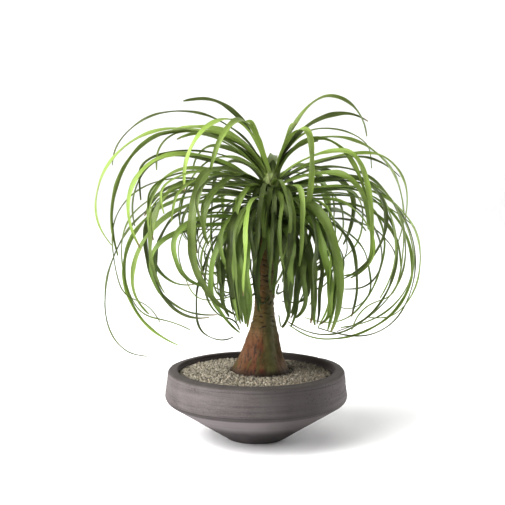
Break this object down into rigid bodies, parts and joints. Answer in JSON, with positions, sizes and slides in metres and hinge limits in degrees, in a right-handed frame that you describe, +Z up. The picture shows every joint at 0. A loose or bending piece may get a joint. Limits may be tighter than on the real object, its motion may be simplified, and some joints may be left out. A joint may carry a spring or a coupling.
{
  "type": "potted ponytail palm",
  "caption": "Ponytail palm with a swollen stem and arching, curling strap leaves, standing in a low concrete bowl with gravel.",
  "frame": {"origin": "centre of the bowl's foot, on the surface that it stands on", "axes": "+Z up, +X to the right and +Y away from someone who faces the plant as it was pictured; the stem's top leans to +X"},
  "size_m": [0.5256, 0.4057, 0.5536],
  "materials": {
    "concrete": "matte warm grey fibre concrete",
    "soil": "crumbly potting soil",
    "gravel": "matte olive grey pebbles",
    "bark": "corky rust brown bark",
    "leaf": "satin green leaf"
  },
  "bodies": {
    "root": {"pot": "concrete", "soil": "soil", "gravel": "gravel", "trunk": "bark", "leaf_crown": "leaf"}
  },
  "joints": []
}
